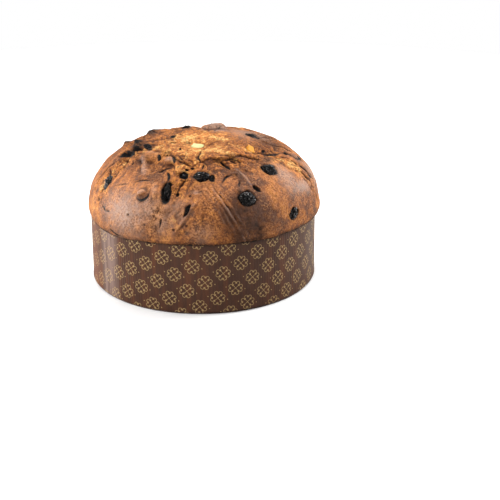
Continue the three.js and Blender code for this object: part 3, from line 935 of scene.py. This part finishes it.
# Char, and painted shade in cracks, hollows and under folds, with ragged edges
ragged_char_and_shade = product(swing(mottle, 1.5), shade_of(masks["scorched"], 0.05, 0.4, 0.0, 1.0))
char_and_shade = calculate(crust_finish, "ADD", masks["scorched"], ragged_char_and_shade)
colour = blend_colours(crust_finish, shade_of(char_and_shade, 0.1, 0.72, 0.0, 1.0), colour, CHAR_AND_SHADE_BLACK)
feed(crust_finish, shader, Base_Color=colour, Roughness=shade_of(mottle, 0.3, 0.7, 0.55, 0.8))
fine = wire(crust_finish, "ShaderNodeBump", Strength=1.0, Distance=0.9 * MM, Height=fleck).outputs[0]
coarse = wire(crust_finish, "ShaderNodeBump",
              Strength=0.7, Distance=0.8 * MM, Height=mottle, Normal=fine).outputs[0]
split = wire(crust_finish, "ShaderNodeBump", {"invert": True},
             Strength=0.9, Distance=0.8 * MM, Height=fissure, Normal=coarse).outputs[0]
feed(crust_finish, shader, Normal=split)
glazed = calculate(crust_finish, "MULTIPLY_ADD", masks["bloom"], whole, product(whole, 0.08))
glaze = product(glazed, shade_of(mottle, 0.35, 0.65, 1.0, 0.5))
feed(crust_finish, shader, Coat_Weight=glaze, Coat_Normal=fine)
shader.inputs["Specular IOR Level"].default_value = 0.15
shader.inputs["Coat Roughness"].default_value = 0.4
loaf.data.materials.append(crust_finish)
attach(loaf, "root")
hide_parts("loaf")


# ---------------------------------------------------------------------------- Raisins
# Sultanas that were folded into the dough, plumped and then charred where they reached the
# crust: black, puckered and a little glossy. Each lies in its own socket.

RAISIN_SHAPES = 4


def raisin_model(seed):
    """A raisin one unit long, wide and high, puckered all over into small round bumps."""
    clear_selection()
    bpy.ops.mesh.primitive_ico_sphere_add(subdivisions=6, radius=0.5, location=(0, 0, 0))
    raisin = bpy.context.object
    swell = []
    for vertex in raisin.data.vertices:
        out = vertex.co.normalized()
        lumps = noise.noise(out * 1.9 + Vector((seed, 0, 0)))
        curled = out + noise.noise_vector(out * 3 + Vector((0, 0, seed))) * 0.36
        gaps = noise.voronoi(curled * 2.2 + Vector((0, seed, 0)))[0]
        pucker = 1 - min((gaps[1] - gaps[0]) / 0.6, 1)
        vertex.co *= 1.06 + 0.2 * lumps - 0.42 * pucker**1.6
        swell.append(1 - pucker)
    raisin.data.attributes.new("swell", "FLOAT", "POINT").data.foreach_set("value", swell)
    return raisin


PITCH = (0.001, 0.001, 0.001, 1)
PAINTED_BUMP_HIGHLIGHT = (0.080, 0.048, 0.036, 1)

raisin_skin, shader = new_finish("charred_raisin_skin")
spot = wire(raisin_skin, "ShaderNodeTexCoord").outputs["Object"]
mottle = wire(raisin_skin, "ShaderNodeTexNoise", Vector=spot, Scale=600.0, Detail=4.0).outputs[0]
swell = wire(raisin_skin, "ShaderNodeAttribute", {"attribute_name": "swell"}).outputs["Fac"]
# The tops of the puckers painted lighter in mottled spots, as highlights
shown = calculate(raisin_skin, "MULTIPLY", calculate(raisin_skin, "POWER", swell, 3.0), mottle)
feed(raisin_skin, shader, Base_Color=blend_colours(raisin_skin, shown, PITCH, PAINTED_BUMP_HIGHLIGHT))
gloss = wire(raisin_skin, "ShaderNodeMapRange", _0=swell, _1=0.3, _2=0.9, _3=0.0, _4=0.9).outputs[0]
feed(raisin_skin, shader, Coat_Weight=gloss)
raised = wire(raisin_skin, "ShaderNodeBump", Strength=0.5, Distance=0.25 * MM, Height=mottle).outputs[0]
feed(raisin_skin, shader, Normal=raised)
shader.inputs["Coat Roughness"].default_value = 0.16
shader.inputs["Coat IOR"].default_value = 1.65
shader.inputs["Roughness"].default_value = 0.5
shader.inputs["Specular IOR Level"].default_value = 0.2

# How broad some are, as a share of the width given above, and how many millimetres deeper they lie
BREADTH = {
    "raisin_1": 1.6, "raisin_2": 0.8, "raisin_5": 0.86, "raisin_6": 0.5, "raisin_7": 0.85,
    "raisin_8": 0.76, "raisin_9": 0.75, "raisin_10": 0.88, "raisin_11": 0.92,
}
DEEPER = {"raisin_2": 3.0, "raisin_7": 1.0, "raisin_8": 1.6, "raisin_9": 1.4}

# The puckers wander by noise offsets that follow the clock unless they are seeded
RAISIN_SEED = 7
noise.seed_set(RAISIN_SEED)
models = [raisin_model(1.7 * k + 0.4) for k in range(RAISIN_SHAPES)]
for number, (name, (place, size, turn, _)) in enumerate(FRUIT.items()):
    if not name.startswith("raisin"):
        continue
    raisin = models[number % RAISIN_SHAPES].copy()
    raisin.data = raisin.data.copy()
    raisin.name = "wrinkled_" + name
    bpy.context.collection.objects.link(raisin)
    _, length, width, out = axes_at(place, turn)
    breadth = BREADTH.get(name, 1)
    sides = [length * size[0] * (1 + breadth) / 2, width * size[1] * breadth, out * size[2]]
    basis = Matrix(sides).transposed()
    centre = Vector(fruit_middle(name) - out * DEEPER.get(name, 0) + (0, 0, HUB)) * MM
    raisin.data.transform(Matrix.Translation(centre) @ (basis * MM).to_4x4())
    raisin.data.materials.append(raisin_skin)
    for face in raisin.data.polygons:
        face.use_smooth = True
    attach(raisin, "root")
    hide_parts(name)
for model in models:
    bpy.data.objects.remove(model)


# ---------------------------------------------------------------------------- Candied peel
# Sugared cuts of citron, lemon and orange peel that reached the crust: small blocks with
# softened corners. Real peel is glassy and a little see-through; these are opaque and mottled.

PEELS = {
    "citron": ((0.40, 0.41, 0.13, 1), (0.56, 0.56, 0.28, 1)),
    "lemon": ((0.50, 0.19, 0.02, 1), (0.62, 0.29, 0.04, 1)),
    "orange": ((0.70, 0.20, 0.01, 1), (0.85, 0.38, 0.05, 1)),
}
for fruit, (deep, light) in PEELS.items():
    peel_finish, shader = new_finish("candied_" + fruit)
    spot = wire(peel_finish, "ShaderNodeTexCoord").outputs["Object"]
    mottle = wire(peel_finish, "ShaderNodeTexNoise", Vector=spot, Scale=400.0, Detail=3.0).outputs[0]
    feed(peel_finish, shader, Base_Color=blend_colours(peel_finish, mottle, deep, light))
    shader.inputs["Roughness"].default_value = 0.5
    shader.inputs["Specular IOR Level"].default_value = 0.2
    for name, (place, size, turn, _) in FRUIT.items():
        if not name.startswith(fruit):
            continue
        clear_selection()
        bpy.ops.mesh.primitive_cube_add(size=1.0, location=(0, 0, 0))
        peel = bpy.context.object
        peel.name = "candied_" + name
        bpy.ops.object.mode_set(mode="EDIT")
        bpy.ops.mesh.select_all(action="SELECT")
        bpy.ops.mesh.subdivide(number_cuts=3)
        bpy.ops.object.mode_set(mode="OBJECT")
        finish_with(peel, "SUBSURF", "softened", levels=2, render_levels=2)
        for vertex in peel.data.vertices:
            vertex.co *= 1 + 0.18 * noise.noise(vertex.co * 2.2 + Vector((len(name), turn, 0)))
        _, length, width, out = axes_at(place, turn)
        basis = Matrix([length * size[0], width * size[1], out * size[2]]).transposed()
        centre = Vector(fruit_middle(name) + (0, 0, HUB)) * MM
        peel.data.transform(Matrix.Translation(centre) @ (basis * MM).to_4x4())
        for face in peel.data.polygons:
            face.use_smooth = True
        peel.data.materials.append(peel_finish)
        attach(peel, "root")
        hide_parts(name)


# ---------------------------------------------------------------------------- Studio
# A plain pale round table under soft boxes: the key at the left, a fill in front, a rim light at
# the right, one low at the left, one high behind, and a large one overhead.

TABLE_RADIUS = 1.05
ROOM_LIGHT = 0.16
LAMP_AIM = Vector((0, 0, 0.07))

clear_selection()
bpy.ops.mesh.primitive_circle_add(vertices=96, radius=TABLE_RADIUS, fill_type="NGON", location=(0, 0, 0))
table = bpy.context.object
table.name = "table_top"
pale, shader = new_finish("pale_table")
shader.inputs["Roughness"].default_value = 0.9
shader.inputs["Specular IOR Level"].default_value = 0.1
seen = wire(pale, "ShaderNodeLightPath").outputs["Is Camera Ray"]
feed(pale, shader, Base_Color=blend_colours(pale, seen, (0.34, 0.33, 0.32, 1), (1, 1, 1, 1)))
table.data.materials.append(pale)

world = bpy.data.worlds.new("soft_room")
world.use_nodes = True
world.node_tree.nodes["Background"].inputs["Color"].default_value = (1, 1, 1, 1)
seen = wire(world, "ShaderNodeLightPath").outputs["Is Camera Ray"]
brightness = calculate(world, "MULTIPLY_ADD", seen, 1 - ROOM_LIGHT, ROOM_LIGHT)
world.node_tree.links.new(brightness, world.node_tree.nodes["Background"].inputs["Strength"])
bpy.context.scene.world = world

SOFT_BOXES = {
    "key_left": ((-1.0, -0.25, 0.42), 0.5, 7.2),
    "front_fill": ((-0.5, -1.4, 0.9), 0.4, 11),
    "rim_right": ((0.95, 0.25, 0.45), 0.5, 13),
    "low_left": ((-0.9, 0.42, 0.12), 0.25, 6),
    "high_back": ((-0.1, 0.6, 1.35), 0.35, 15),
    "ceiling": ((0, 0.2, 1.6), 2.2, 24),
}
for name, (place, size, power) in SOFT_BOXES.items():
    box = bpy.data.lights.new(name, "AREA")
    box.shape = "SQUARE"
    box.size = size
    box.energy = power
    lamp = bpy.data.objects.new(name, box)
    lamp.location = place
    lamp.rotation_euler = (LAMP_AIM - Vector(place)).to_track_quat("-Z", "Y").to_euler()
    bpy.context.collection.objects.link(lamp)

CAMERA_RISE = math.radians(20.8)
CAMERA_DISTANCE = 1.15
AIM_HEIGHT = 0.0325
SHIFT_RIGHT = 0.0435
SHIFT_DOWN = 0.0125
LENS = 87.6
camera_data = bpy.data.cameras.new("camera")
camera_data.lens = LENS
camera_data.sensor_width = 36
camera = bpy.data.objects.new("camera", camera_data)
camera.location = (
    0, -math.cos(CAMERA_RISE) * CAMERA_DISTANCE, AIM_HEIGHT + math.sin(CAMERA_RISE) * CAMERA_DISTANCE,
)
upward = Vector((0, math.sin(CAMERA_RISE), math.cos(CAMERA_RISE)))
aim = Vector((0, 0, AIM_HEIGHT)) + Vector((SHIFT_RIGHT, 0, 0)) - upward * SHIFT_DOWN
camera.rotation_euler = (aim - camera.location).to_track_quat("-Z", "Y").to_euler()
bpy.context.collection.objects.link(camera)
bpy.context.scene.camera = camera
bpy.context.scene.view_settings.view_transform = "Standard"
